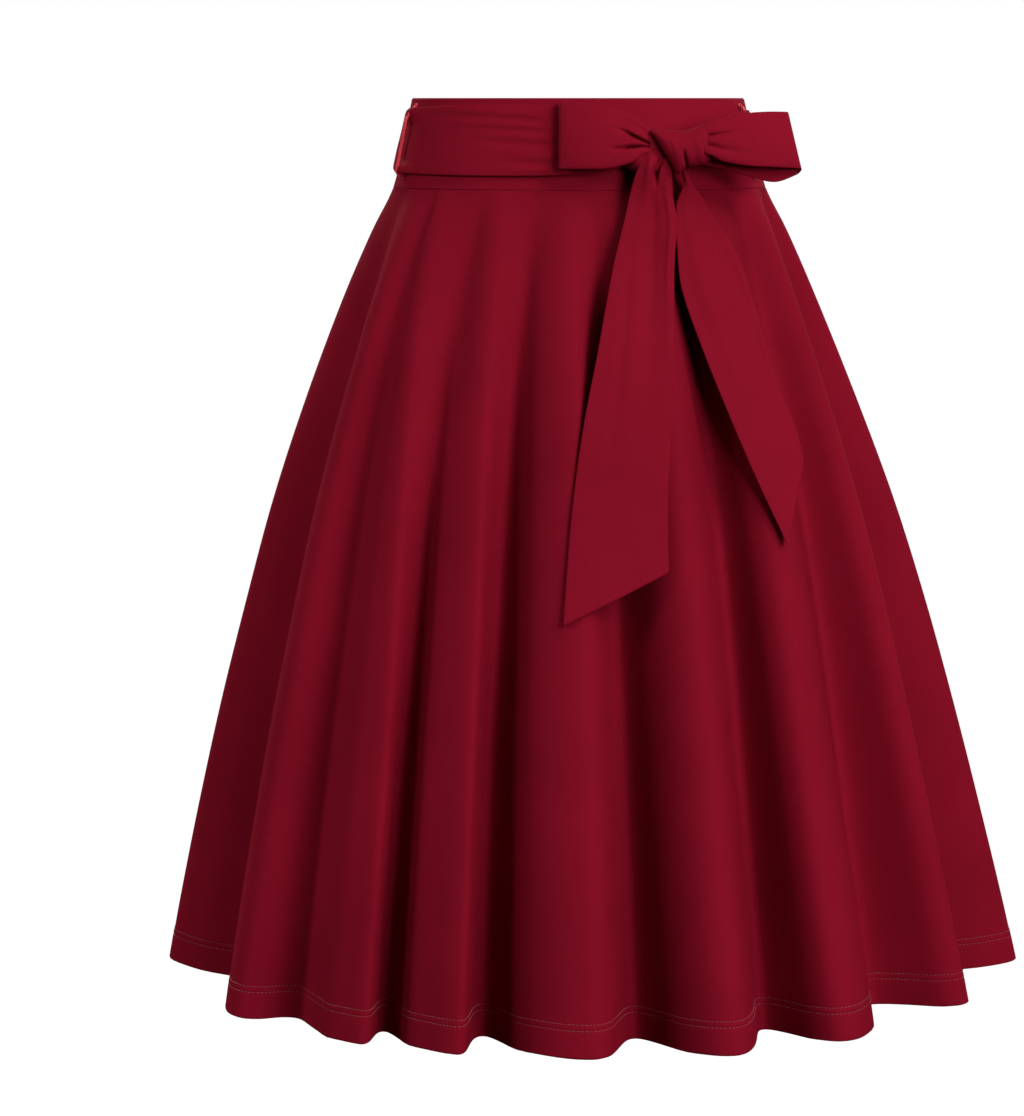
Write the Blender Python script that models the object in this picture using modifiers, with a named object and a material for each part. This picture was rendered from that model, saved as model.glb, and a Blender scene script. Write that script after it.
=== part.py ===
"""A-line midi skirt with a tied sash, worn open and hollow. Metres, +Z up.

The origin is the centre of the waist, halfway up the waistband. The front faces -Y, and left and
right are as seen from the front. Angles run round the skirt in degrees from the front centre,
positive towards the right.
"""
import math
from collections import namedtuple

import bmesh
import bpy
from mathutils import Matrix, Vector

# Driving dimensions
WAISTBAND_TOP = 0.035
WAIST_SEAM = -0.035
RIDGE_HEM = -0.661
SEAM_GAP = 0.0003
SKIRT_CLOTH = 0.0015
WAISTBAND_CLOTH = 0.0022
SASH_CLOTH = 0.0016

# Widths of the worn shape round the outer ridges of the cloth, by the distance below the origin
Ring = namedtuple("Ring", "drop half_width half_depth centre_x")
BODY_RINGS = (
    Ring(-0.035, 0.1310, 0.0920, -0.0030),
    Ring(0.000, 0.1385, 0.0985, -0.0023),
    Ring(0.035, 0.1475, 0.1050, -0.0016),
    Ring(0.069, 0.1647, 0.1210, -0.0014),
    Ring(0.125, 0.1894, 0.1450, -0.0011),
    Ring(0.205, 0.2210, 0.1720, 0.0004),
    Ring(0.285, 0.2495, 0.1990, 0.0024),
    Ring(0.366, 0.2738, 0.2250, 0.0044),
    Ring(0.448, 0.2962, 0.2500, 0.0057),
    Ring(0.531, 0.3169, 0.2720, 0.0075),
    Ring(0.614, 0.3363, 0.2920, 0.0096),
    Ring(0.661, 0.3463, 0.3020, 0.0108),
)

# The unpressed folds of the flared cut: each is a ridge and the valley to its right
Fold = namedtuple("Fold", "ridge_at_waist ridge_at_hem set_back valley_at_waist valley_at_hem depth")
SKIRT_FOLDS = (
    Fold(-90.5, -90.8, 0.000, -71.0, -72.0, 0.072),
    Fold(-58.0, -52.2, 0.000, -49.5, -46.4, 0.036),
    Fold(-45.5, -30.2, 0.000, -31.0, -31.3, 0.048),
    Fold(-23.0, -17.0, 0.000, -12.5, -16.8, 0.070),
    Fold(-2.6, -0.5, 0.000, 4.2, 6.4, 0.075),
    Fold(18.5, 17.4, 0.000, 30.0, 27.8, 0.078),
    Fold(43.0, 34.8, 0.009, 56.0, 54.5, 0.086),
    Fold(68.5, 62.8, 0.020, 80.0, 81.0, 0.110),
    Fold(91.0, 92.8, 0.000, 106.0, 109.0, 0.050),
    Fold(117.0, 119.0, 0.004, 128.0, 130.0, 0.055),
    Fold(139.0, 141.0, 0.010, 150.0, 149.0, 0.050),
    Fold(161.0, 163.0, 0.000, 170.0, 172.5, 0.048),
    Fold(180.0, 184.0, 0.004, 193.0, 192.5, 0.054),
    Fold(205.0, 207.0, 0.000, 219.0, 216.0, 0.062),
    Fold(230.0, 231.0, 0.012, 242.0, 240.0, 0.052),
    Fold(252.0, 252.5, 0.004, 260.0, 258.0, 0.052),
)
ANGLE_DRIFT = 2.5
FOLD_GROWTH = 0.72
VALLEY_SAG = 0.06
RIDGE_SHOULDER = 1.25
COLUMNS_A_FOLD = 8
SKIRT_ROWS = 11

# Seams lie halfway down a fold's side, where the cloth is straight
LEFT_SIDE_SEAM = -0.29
RIGHT_SIDE_SEAM = 8.25
CENTRE_BACK_SEAM = 11.71
ROUND = len(SKIRT_FOLDS)

# The sash round the waist, from the right of the knot round the back to its left
SashEdge = namedtuple("SashEdge", "angle top bottom")
SASH_EDGES = (
    SashEdge(36.0, 0.0100, -0.0120),
    SashEdge(48.0, 0.0150, -0.0150),
    SashEdge(62.0, 0.0240, -0.0200),
    SashEdge(90.0, 0.0256, -0.0215),
    SashEdge(180.0, 0.0256, -0.0245),
    SashEdge(270.0, 0.0256, -0.0210),
    SashEdge(300.0, 0.0285, -0.0235),
    SashEdge(335.0, 0.0305, -0.0242),
    SashEdge(358.0, 0.0285, -0.0230),
    SashEdge(376.0, 0.0200, -0.0172),
    SashEdge(392.0, 0.0100, -0.0120),
)
SASH_STAND_OFF_TOP = 0.0023
SASH_STAND_OFF_BOTTOM = 0.0050
SASH_COLUMNS = 60
SASH_ROWS = 4

# A bow loop is the sash doubled on itself: out from the knot, round its fold and back behind
LoopStation = namedtuple("LoopStation", "along x y top bottom slant")
LEFT_LOOP = (
    LoopStation(0.000, 0.0520, -0.1140, 0.0080, -0.0115, 0.0),
    LoopStation(0.018, 0.0390, -0.1180, 0.0200, -0.0135, 0.0),
    LoopStation(0.038, 0.0200, -0.1200, 0.0278, -0.0175, 0.0),
    LoopStation(0.058, 0.0005, -0.1175, 0.0307, -0.0182, 0.0),
    LoopStation(0.075, -0.0148, -0.1120, 0.0318, -0.0182, 0.0),
    LoopStation(0.080, -0.0166, -0.1085, 0.0320, -0.0180, 0.0),
    LoopStation(0.085, -0.0148, -0.1052, 0.0315, -0.0176, 0.0),
    LoopStation(0.102, 0.0005, -0.1042, 0.0290, -0.0165, 0.0),
    LoopStation(0.127, 0.0250, -0.1025, 0.0220, -0.0165, 0.0),
    LoopStation(0.152, 0.0480, -0.0990, 0.0090, -0.0110, 0.0),
)
RIGHT_LOOP = (
    LoopStation(0.000, 0.0920, -0.1113, 0.0080, -0.0115, 0.0),
    LoopStation(0.016, 0.1060, -0.1155, 0.0185, -0.0125, 0.002),
    LoopStation(0.034, 0.1240, -0.1145, 0.0235, -0.0180, 0.004),
    LoopStation(0.054, 0.1430, -0.1085, 0.0245, -0.0180, 0.007),
    LoopStation(0.073, 0.1600, -0.1010, 0.0240, -0.0190, 0.010),
    LoopStation(0.078, 0.1622, -0.0975, 0.0238, -0.0200, 0.010),
    LoopStation(0.083, 0.1600, -0.0942, 0.0230, -0.0230, 0.008),
    LoopStation(0.099, 0.1445, -0.0925, 0.0190, -0.0285, 0.005),
    LoopStation(0.120, 0.1240, -0.0915, 0.0130, -0.0240, 0.002),
    LoopStation(0.147, 0.0990, -0.0920, 0.0050, -0.0140, 0.0),
)
BOW_LEAN = 0.25
LOOP_COLUMNS = 26
LOOP_ROWS = 5
LOOP_GATHER = 0.0022
LOOP_GATHER_REACH = 0.030

# The tails of the sash: both edges of the cloth at each distance from the knot
TailStation = namedtuple("TailStation", "along left_x left_drop right_x right_drop lift crease")
LEFT_TAIL = (
    TailStation(0.000, 0.0560, 0.0238, 0.0690, 0.0238, 0.0120, 0.000),
    TailStation(0.018, 0.0420, 0.0400, 0.0720, 0.0400, 0.0105, 0.004),
    TailStation(0.036, 0.0317, 0.0577, 0.0740, 0.0590, 0.0080, 0.006),
    TailStation(0.068, 0.0249, 0.0896, 0.0712, 0.0896, 0.0055, 0.006),
    TailStation(0.136, 0.0121, 0.1573, 0.0705, 0.1573, 0.0045, 0.005),
    TailStation(0.194, 0.0010, 0.2151, 0.0684, 0.2100, 0.0040, 0.004),
    TailStation(0.256, -0.0071, 0.2775, 0.0655, 0.2600, 0.0040, 0.002),
    TailStation(0.332, -0.0128, 0.3537, 0.0659, 0.3153, 0.0040, 0.000),
)
RIGHT_TAIL = (
    TailStation(0.000, 0.0745, 0.0238, 0.0860, 0.0238, 0.0160, 0.000),
    TailStation(0.024, 0.0765, 0.0500, 0.0965, 0.0460, 0.0110, 0.003),
    TailStation(0.052, 0.0752, 0.0811, 0.1110, 0.0690, 0.0065, 0.004),
    TailStation(0.080, 0.0772, 0.1070, 0.1245, 0.0960, 0.0045, 0.003),
    TailStation(0.120, 0.0890, 0.1450, 0.1400, 0.1450, 0.0040, 0.002),
    TailStation(0.172, 0.1100, 0.1970, 0.1530, 0.1870, 0.0040, 0.002),
    TailStation(0.228, 0.1337, 0.2514, 0.1650, 0.2170, 0.0040, 0.001),
    TailStation(0.280, 0.1572, 0.3007, 0.1702, 0.2386, 0.0040, 0.000),
)
TAIL_ROWS = 16
TAIL_COLUMNS = 6

KNOT_CENTRE = Vector((0.0745, -0.1030, -0.0055))
KNOT_HALF_SIZE = Vector((0.0215, 0.0125, 0.0180))
KNOT_TURN = 12.0
KNOT_BOXINESS = 2.6
KNOT_WRAPS = 2.0
KNOT_WRAP_RELIEF = 0.05

BELT_LOOP_ANGLE = 71.0
BELT_LOOP_TOP = 0.0300
BELT_LOOP_BOTTOM = -0.0270
BELT_LOOP_OUT = 0.0082
BELT_LOOP_RADIUS = 0.0012

ZIP_BOTTOM = -0.215
ZIP_CLOTH = 0.0010
ZIP_CLEARANCE = 0.0006
ZIP_HALF_WIDTH_AT_TOP = 0.28
ZIP_HALF_WIDTH_AT_END = 0.16

CLOTH_RED = (0.165, 0.004, 0.014, 1.0)
THREAD_RED = (0.60, 0.010, 0.040, 1.0)
TAPE_RED = (0.110, 0.003, 0.010, 1.0)
CLOTH_ROUGHNESS = 0.68
THREAD_ROUGHNESS = 0.45


def clear_scene():
    for item in list(bpy.data.objects):
        bpy.data.objects.remove(item)


def make_material(name, colour, roughness):
    material = bpy.data.materials.new(name)
    material.use_nodes = True
    shader = material.node_tree.nodes["Principled BSDF"]
    shader.inputs["Base Color"].default_value = colour
    shader.inputs["Roughness"].default_value = roughness
    shader.inputs["Metallic"].default_value = 0.0
    return material


def table_slope(table, index, column):
    before = table[max(index - 1, 0)]
    after = table[min(index + 1, len(table) - 1)]
    return (after[column] - before[column]) / (after[0] - before[0])


def read_table(table, at):
    """The row at any value of a table's first column, on a smooth curve through its rows."""
    index = 0
    while index < len(table) - 2 and table[index + 1][0] <= at:
        index += 1
    start = table[index]
    end = table[index + 1]
    span = end[0] - start[0]
    f = min(max((at - start[0]) / span, 0.0), 1.0)
    values = []
    for column in range(len(start)):
        leaving = table_slope(table, index, column) * span
        arriving = table_slope(table, index + 1, column) * span
        values.append(hermite(start[column], end[column], leaving, arriving, f))
    return type(start)(*values)


def hermite(start, end, leaving, arriving, f):
    ease = smooth(f)
    return (
        start * (1.0 - ease)
        + end * ease
        + leaving * f * (1.0 - f) ** 2
        - arriving * f * f * (1.0 - f)
    )


def smooth(f):
    return f * f * (3.0 - 2.0 * f)


def spread(first, last, count):
    """Evenly spaced values from first to last, count steps apart."""
    return [first + (last - first) * step / count for step in range(count + 1)]


def ring_point(angle, height, out=0.0):
    """A point of the worn shape, moved out square to its ring."""
    ring = read_table(BODY_RINGS, -height)
    turn = math.radians(angle)
    across = Vector((math.sin(turn) / ring.half_width, -math.cos(turn) / ring.half_depth, 0.0))
    point = Vector((
        ring.centre_x + ring.half_width * math.sin(turn),
        -ring.half_depth * math.cos(turn),
        height,
    ))
    return point + across.normalized() * out


def front_point(x, height, out):
    """The point in front of the worn shape at a given x and height."""
    ring = read_table(BODY_RINGS, -height)
    turn = math.asin((x - ring.centre_x) / (ring.half_width + out))
    return ring_point(math.degrees(turn), height, out)


def knot_angle(index, fall):
    """The angle of a ridge (even index) or valley (odd index) at a fall of 0 (waist) to 1 (hem)."""
    lap, place = divmod(index, 2 * ROUND)
    fold = SKIRT_FOLDS[place // 2]
    if place % 2 == 0:
        at_waist, at_hem = fold.ridge_at_waist, fold.ridge_at_hem
    else:
        at_waist, at_hem = fold.valley_at_waist, fold.valley_at_hem
    return at_hem + (at_waist - at_hem) * (1.0 - fall) ** ANGLE_DRIFT + 360.0 * lap


def knot_inset(index):
    place = index % (2 * ROUND)
    fold = SKIRT_FOLDS[place // 2]
    return fold.depth if place % 2 else fold.set_back


def fold_at(place, fall):
    """Angle and inset at a place counted in folds: whole at a ridge, half past it at a valley."""
    index = math.floor(place * 2.0)
    f = place * 2.0 - index
    before, start, end, after = (knot_angle(index + step, fall) for step in (-1, 0, 1, 2))
    angle = hermite(start, end, (end - before) / 2.0, (after - start) / 2.0, f)
    climbing = index % 2 == 1
    step = 1.0 - (1.0 - f) ** RIDGE_SHOULDER if climbing else f
    inset = knot_inset(index) + (knot_inset(index + 1) - knot_inset(index)) * smooth(step)
    return angle, inset * fall ** FOLD_GROWTH


def skirt_point(place, fall):
    """A point of the skirt's outer surface."""
    angle, inset = fold_at(place, fall)
    top = WAIST_SEAM - SEAM_GAP
    point = ring_point(angle, top + (RIDGE_HEM - top) * fall, -inset)
    point.z -= inset * VALLEY_SAG
    return point


def skirt_point_moved(place, fall, out):
    """A point of the skirt moved square to its surface."""
    step = 0.02
    across = skirt_point(place + step, fall) - skirt_point(place - step, fall)
    down = skirt_point(place, fall + step) - skirt_point(place, max(fall - step, 0.0))
    return skirt_point(place, fall) + down.cross(across).normalized() * out


def trim_ends(row):
    """Draws a row of points in by half a seam gap at both ends."""
    first, last = row[0].copy(), row[-1].copy()
    row[0] += (row[1] - first).normalized() * SEAM_GAP / 2.0
    row[-1] += (row[-2] - last).normalized() * SEAM_GAP / 2.0
    return row


def make_cloth(name, rows, thickness, offset, material, collection):
    """A wall of cloth on rows of points, each row from left to right, the rows from the top down."""
    form = bmesh.new()
    grid = [[form.verts.new(point) for point in row] for row in rows]
    for upper, lower in zip(grid, grid[1:]):
        for i in range(len(upper) - 1):
            form.faces.new((upper[i], lower[i], lower[i + 1], upper[i + 1]))
    mesh = bpy.data.meshes.new(name)
    form.to_mesh(mesh)
    form.free()
    mesh.materials.append(material)
    mesh.shade_smooth()
    cloth = bpy.data.objects.new(name, mesh)
    collection.objects.link(cloth)
    wall = cloth.modifiers.new("Wall", "SOLIDIFY")
    wall.thickness = thickness
    wall.offset = offset
    wall.use_even_offset = True
    wall.use_quality_normals = True
    return cloth


def make_skirt_panel(name, first, last, material, collection):
    places = spread(first, last, round((last - first) * COLUMNS_A_FOLD))
    rows = [
        trim_ends([skirt_point(place, fall) for place in places])
        for fall in spread(0.0, 1.0, SKIRT_ROWS)
    ]
    return make_cloth(name, rows, SKIRT_CLOTH, -1.0, material, collection)


def make_waistband_piece(name, first, last, columns, material, collection):
    """A piece of the waistband between two seams, which the skirt's seams run into."""
    start = fold_at(first, 0.0)[0]
    end = fold_at(last, 0.0)[0]
    rows = [
        trim_ends([ring_point(angle, height) for angle in spread(start, end, columns)])
        for height in spread(WAISTBAND_TOP, WAIST_SEAM + SEAM_GAP, 2)
    ]
    return make_cloth(name, rows, WAISTBAND_CLOTH, -1.0, material, collection)


def sash_point(angle, down):
    """A point of the sash's outer surface, at 0 (top edge) to 1 (bottom edge)."""
    edge = read_table(SASH_EDGES, angle)
    height = edge.top + (edge.bottom - edge.top) * down
    fall = (WAISTBAND_TOP - height) / (WAISTBAND_TOP - WAIST_SEAM)
    out = SASH_STAND_OFF_TOP + (SASH_STAND_OFF_BOTTOM - SASH_STAND_OFF_TOP) * fall
    return ring_point(angle, height, out)


def make_sash_band(material, collection):
    angles = spread(SASH_EDGES[0].angle, SASH_EDGES[-1].angle, SASH_COLUMNS)
    rows = [
        [sash_point(angle, down) for angle in angles]
        for down in spread(0.0, 1.0, SASH_ROWS)
    ]
    return make_cloth("sash_band", rows, SASH_CLOTH, -1.0, material, collection)


def loop_point(stations, along, down):
    """A point of a bow loop, gathered into soft pleats where it enters the knot."""
    station = read_table(stations, along)
    height = station.top + (station.bottom - station.top) * down
    from_knot = min(along, stations[-1].along - along)
    gather = LOOP_GATHER * max(1.0 - from_knot / LOOP_GATHER_REACH, 0.0)
    pleat = gather * math.cos(4.0 * math.pi * down)
    x = station.x + station.slant * (down - 0.5)
    return Vector((x, station.y + BOW_LEAN * height + pleat, height))


def make_bow_loop(name, stations, material, collection):
    rows = [
        [loop_point(stations, along, down) for along in spread(0.0, stations[-1].along, LOOP_COLUMNS)]
        for down in spread(0.0, 1.0, LOOP_ROWS)
    ]
    return make_cloth(name, rows, SASH_CLOTH, 0.0, material, collection)


def tail_point(stations, along, across):
    """A point of a tail, with one long crease down its right half."""
    station = read_table(stations, along)
    x = station.left_x + (station.right_x - station.left_x) * across
    drop = station.left_drop + (station.right_drop - station.left_drop) * across
    relief = station.crease * (0.5 + 0.5 * math.cos(2.0 * math.pi * (across - 0.25) / 0.9))
    return front_point(x, -drop, station.lift + relief)


def make_tail(name, stations, material, collection):
    rows = [
        [tail_point(stations, along, across) for across in spread(0.0, 1.0, TAIL_COLUMNS)]
        for along in spread(0.0, stations[-1].along, TAIL_ROWS)
    ]
    return make_cloth(name, rows, SASH_CLOTH, -1.0, material, collection)


def make_knot(material, collection):
    """The sash wrapped twice over itself: a rounded lump with slanting wraps."""
    form = bmesh.new()
    bmesh.ops.create_uvsphere(form, u_segments=24, v_segments=12, radius=1.0)
    turn = Matrix.Rotation(math.radians(KNOT_TURN), 4, "Z")
    for vertex in form.verts:
        unit = vertex.co.normalized()
        reach = sum(abs(part) ** KNOT_BOXINESS for part in unit) ** (1.0 / KNOT_BOXINESS)
        wrap = math.cos(2.0 * math.pi * KNOT_WRAPS * (unit.x - 0.35 * unit.z))
        scale = (1.0 + KNOT_WRAP_RELIEF * wrap) / reach
        shaped = Vector(part * size * scale for part, size in zip(unit, KNOT_HALF_SIZE))
        vertex.co = turn @ shaped
    mesh = bpy.data.meshes.new("sash_knot")
    form.to_mesh(mesh)
    form.free()
    mesh.materials.append(material)
    mesh.shade_smooth()
    knot = bpy.data.objects.new("sash_knot", mesh)
    knot.location = KNOT_CENTRE
    collection.objects.link(knot)
    return knot


def make_belt_loop(name, angle, material, collection):
    """A thread carrier: out of the waistband, down over the sash and back in."""
    near = BELT_LOOP_RADIUS + SEAM_GAP
    bend = 0.002
    path = (
        (BELT_LOOP_TOP, near),
        (BELT_LOOP_TOP, BELT_LOOP_OUT - bend),
        (BELT_LOOP_TOP - bend, BELT_LOOP_OUT),
        (0.0, BELT_LOOP_OUT),
        (BELT_LOOP_BOTTOM + bend, BELT_LOOP_OUT),
        (BELT_LOOP_BOTTOM, BELT_LOOP_OUT - bend),
        (BELT_LOOP_BOTTOM, near),
    )
    curve = bpy.data.curves.new(name, "CURVE")
    curve.dimensions = "3D"
    curve.bevel_depth = BELT_LOOP_RADIUS
    curve.bevel_resolution = 2
    curve.use_fill_caps = True
    spline = curve.splines.new("POLY")
    spline.points.add(len(path) - 1)
    for point, (height, out) in zip(spline.points, path):
        point.co = (*ring_point(angle, height, out), 1.0)
    curve.materials.append(material)
    loop = bpy.data.objects.new(name, curve)
    collection.objects.link(loop)
    return loop


def zip_row(height):
    """Points across the zip's tape on the inside of the centre-back seam."""
    full = ZIP_HALF_WIDTH_AT_TOP
    end = ZIP_HALF_WIDTH_AT_END
    fall = max(WAIST_SEAM - height, 0.0) / (WAIST_SEAM - RIDGE_HEM)
    half = full + (end - full) * max(WAIST_SEAM - height, 0.0) / (WAIST_SEAM - ZIP_BOTTOM)
    places = spread(CENTRE_BACK_SEAM - half, CENTRE_BACK_SEAM + half, 4)
    if height > WAIST_SEAM:
        inside = -(WAISTBAND_CLOTH + ZIP_CLEARANCE)
        return [ring_point(fold_at(place, 0.0)[0], height, inside) for place in places]
    inside = -(WAISTBAND_CLOTH + ZIP_CLEARANCE)
    return [skirt_point_moved(place, fall, inside) for place in places]


def make_zip(material, collection):
    heights = spread(WAISTBAND_TOP - 0.004, WAIST_SEAM + 0.004, 2)
    heights += spread(WAIST_SEAM - 0.012, ZIP_BOTTOM, 6)
    rows = [zip_row(height) for height in heights]
    return make_cloth("back_zip", rows, ZIP_CLOTH, -1.0, material, collection)


def make_skirt():
    clear_scene()
    parts = bpy.data.collections.new("a_line_midi_skirt")
    bpy.context.scene.collection.children.link(parts)

    def cloth(name):
        return make_material(name + "_cloth", CLOTH_RED, CLOTH_ROUGHNESS)

    for name, first, last in (
        ("front_panel", LEFT_SIDE_SEAM, RIGHT_SIDE_SEAM),
        ("back_right_panel", RIGHT_SIDE_SEAM, CENTRE_BACK_SEAM),
        ("back_left_panel", CENTRE_BACK_SEAM, LEFT_SIDE_SEAM + ROUND),
    ):
        make_skirt_panel(name, first, last, cloth(name), parts)
    for name, first, last, columns in (
        ("waistband_front", LEFT_SIDE_SEAM, RIGHT_SIDE_SEAM, 52),
        ("waistband_back_right", RIGHT_SIDE_SEAM, CENTRE_BACK_SEAM, 22),
        ("waistband_back_left", CENTRE_BACK_SEAM, LEFT_SIDE_SEAM + ROUND, 26),
    ):
        make_waistband_piece(name, first, last, columns, cloth(name), parts)
    make_sash_band(cloth("sash_band"), parts)
    make_bow_loop("bow_loop_left", LEFT_LOOP, cloth("bow_loop_left"), parts)
    make_bow_loop("bow_loop_right", RIGHT_LOOP, cloth("bow_loop_right"), parts)
    make_tail("sash_tail_left", LEFT_TAIL, cloth("sash_tail_left"), parts)
    make_tail("sash_tail_right", RIGHT_TAIL, cloth("sash_tail_right"), parts)
    make_knot(cloth("sash_knot"), parts)
    for name, angle in (("belt_loop_left", -BELT_LOOP_ANGLE), ("belt_loop_right", BELT_LOOP_ANGLE)):
        thread = make_material(name + "_thread", THREAD_RED, THREAD_ROUGHNESS)
        make_belt_loop(name, angle, thread, parts)
    make_zip(make_material("back_zip_tape", TAPE_RED, CLOTH_ROUGHNESS), parts)


make_skirt()
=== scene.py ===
"""Looks of an a-line midi skirt with a tied sash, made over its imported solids. Metres, +Z up.

The origin is the centre of the waist, halfway up the waistband. The front faces -Y, and left and
right are as seen from the front. Angles run round the skirt in degrees from the front centre,
positive towards the right. Places round the skirt are counted in folds: whole at a ridge, half
past it at the valley to its right. Falls run from 0 at the waist seam to 1 at the hem.
"""
import math
from collections import namedtuple
from functools import lru_cache

import bmesh
import bpy
from mathutils import Matrix, Vector, noise


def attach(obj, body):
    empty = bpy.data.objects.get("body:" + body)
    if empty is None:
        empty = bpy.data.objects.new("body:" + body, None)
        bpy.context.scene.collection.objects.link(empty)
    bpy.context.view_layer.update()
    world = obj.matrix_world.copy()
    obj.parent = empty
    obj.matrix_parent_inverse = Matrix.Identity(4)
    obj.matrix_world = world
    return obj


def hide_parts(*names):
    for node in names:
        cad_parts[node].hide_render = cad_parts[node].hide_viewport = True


# Driving dimensions, as in the solids
WAISTBAND_TOP = 0.035
WAIST_SEAM = -0.035
RIDGE_HEM = -0.661
SKIRT_FALL = WAIST_SEAM - RIDGE_HEM
SEAM_GAP = 0.0001
CLOTH = 0.0010
WAISTBAND_CLOTH = 0.0022
SASH_CLOTH = 0.0014

# Widths of the worn shape round the outer ridges of the cloth, by the distance below the origin
Ring = namedtuple("Ring", "drop half_width half_depth centre_x")
BODY_RINGS = (
    Ring(-0.035, 0.1310, 0.0920, -0.0030),
    Ring(0.000, 0.1385, 0.0985, -0.0023),
    Ring(0.035, 0.1475, 0.1050, -0.0016),
    Ring(0.069, 0.1647, 0.1210, -0.0014),
    Ring(0.125, 0.1894, 0.1450, -0.0011),
    Ring(0.205, 0.2210, 0.1720, 0.0004),
    Ring(0.285, 0.2495, 0.1990, 0.0024),
    Ring(0.366, 0.2738, 0.2250, 0.0044),
    Ring(0.448, 0.2962, 0.2500, 0.0057),
    Ring(0.531, 0.3169, 0.2720, 0.0075),
    Ring(0.614, 0.3363, 0.2920, 0.0096),
    Ring(0.661, 0.3463, 0.3020, 0.0108),
)

# The unpressed folds of the flared cut: each is a ridge and the valley to its right.
# A fold's side that climbs out of its valley ends in a broad shoulder at the next ridge.
Fold = namedtuple("Fold", "ridge_at_waist ridge_at_hem set_back valley_at_waist valley_at_hem depth")
SKIRT_FOLDS = (
    Fold(-90.5, -90.8, 0.000, -71.0, -72.0, 0.072),
    Fold(-58.0, -52.2, 0.000, -49.5, -46.4, 0.036),
    Fold(-45.5, -30.2, 0.000, -31.0, -31.3, 0.048),
    Fold(-23.0, -17.0, 0.000, -12.5, -16.8, 0.070),
    Fold(-2.6, -0.5, 0.000, 4.2, 6.4, 0.075),
    Fold(18.5, 17.4, 0.000, 30.0, 27.8, 0.078),
    Fold(43.0, 34.8, 0.009, 56.0, 54.5, 0.086),
    Fold(68.5, 62.8, 0.020, 80.0, 81.0, 0.110),
    Fold(91.0, 92.8, 0.000, 106.0, 109.0, 0.050),
    Fold(117.0, 119.0, 0.004, 128.0, 130.0, 0.055),
    Fold(139.0, 141.0, 0.010, 150.0, 149.0, 0.050),
    Fold(161.0, 163.0, 0.000, 170.0, 172.5, 0.048),
    Fold(180.0, 184.0, 0.004, 193.0, 192.5, 0.054),
    Fold(205.0, 207.0, 0.000, 219.0, 216.0, 0.062),
    Fold(230.0, 231.0, 0.012, 242.0, 240.0, 0.052),
    Fold(252.0, 252.5, 0.004, 260.0, 258.0, 0.052),
)
ANGLE_DRIFT = 2.5
FOLD_GROWTH = 0.72
VALLEY_SAG = 0.06
RIDGE_SHOULDER = 1.25
LEFT_SIDE_SEAM = -0.29
RIGHT_SIDE_SEAM = 8.25
CENTRE_BACK_SEAM = 11.71
ROUND = len(SKIRT_FOLDS)

# Soft secondary creases down the folds' sides: where, how far down they begin, height, half width
SoftCrease = namedtuple("SoftCrease", "place begins height half_width")
SOFT_CREASES = (
    SoftCrease(0.24, 0.10, 0.0033, 0.07),
    SoftCrease(0.78, 0.25, 0.0024, 0.05),
    SoftCrease(1.22, 0.30, 0.0018, 0.06),
    SoftCrease(1.80, 0.15, 0.0030, 0.05),
    SoftCrease(2.74, 0.22, 0.0036, 0.06),
    SoftCrease(3.72, 0.18, 0.0039, 0.06),
    SoftCrease(4.16, 0.40, 0.0018, 0.05),
    SoftCrease(4.76, 0.30, 0.0033, 0.06),
    SoftCrease(5.74, 0.12, 0.0036, 0.05),
    SoftCrease(6.20, 0.45, 0.0021, 0.06),
    SoftCrease(6.78, 0.20, 0.0039, 0.06),
    SoftCrease(7.76, 0.30, 0.0027, 0.06),
    SoftCrease(8.76, 0.18, 0.0033, 0.06),
    SoftCrease(9.24, 0.35, 0.0021, 0.06),
    SoftCrease(9.74, 0.15, 0.0036, 0.05),
    SoftCrease(10.78, 0.28, 0.0030, 0.06),
    SoftCrease(12.24, 0.38, 0.0021, 0.06),
    SoftCrease(12.74, 0.20, 0.0036, 0.06),
    SoftCrease(13.76, 0.14, 0.0033, 0.05),
    SoftCrease(14.26, 0.32, 0.0024, 0.06),
    SoftCrease(14.76, 0.24, 0.0033, 0.06),
)
FOLDS_WANDER = 0.0016

# Hem: turned up once and held by two close rows of stitches
HEM_TURNING = 0.024
HEM_STITCH_ROWS = (0.0190, 0.0235)
HEM_LAYER_GAP = 0.0002
STITCH_PITCH = 0.0032
STITCH_LENGTH = 0.0025
THREAD_RADIUS = 0.00028
FIRST_STITCH_AT = 0.0003
STITCH_LIFT = 0.00015
HEM_DENT = 0.00035
HEM_DENT_HALF_WIDTH = 0.0009
HEM_PUFF = 0.0005
HEM_PUFF_FADE = 0.004
SEAM_ROLL = 0.0002
SEAM_ROLL_REACH = 0.0012

# The sash round the waist, from the right of the knot round the back to its left
SashEdge = namedtuple("SashEdge", "angle top bottom")
SASH_EDGES = (
    SashEdge(36.0, 0.0100, -0.0120),
    SashEdge(48.0, 0.0150, -0.0150),
    SashEdge(62.0, 0.0240, -0.0200),
    SashEdge(90.0, 0.0256, -0.0215),
    SashEdge(180.0, 0.0256, -0.0245),
    SashEdge(270.0, 0.0256, -0.0210),
    SashEdge(300.0, 0.0285, -0.0235),
    SashEdge(335.0, 0.0305, -0.0242),
    SashEdge(358.0, 0.0285, -0.0230),
    SashEdge(376.0, 0.0200, -0.0172),
    SashEdge(392.0, 0.0100, -0.0120),
)
SASH_STAND_OFF_TOP = 0.0023
SASH_STAND_OFF_BOTTOM = 0.0050

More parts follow.
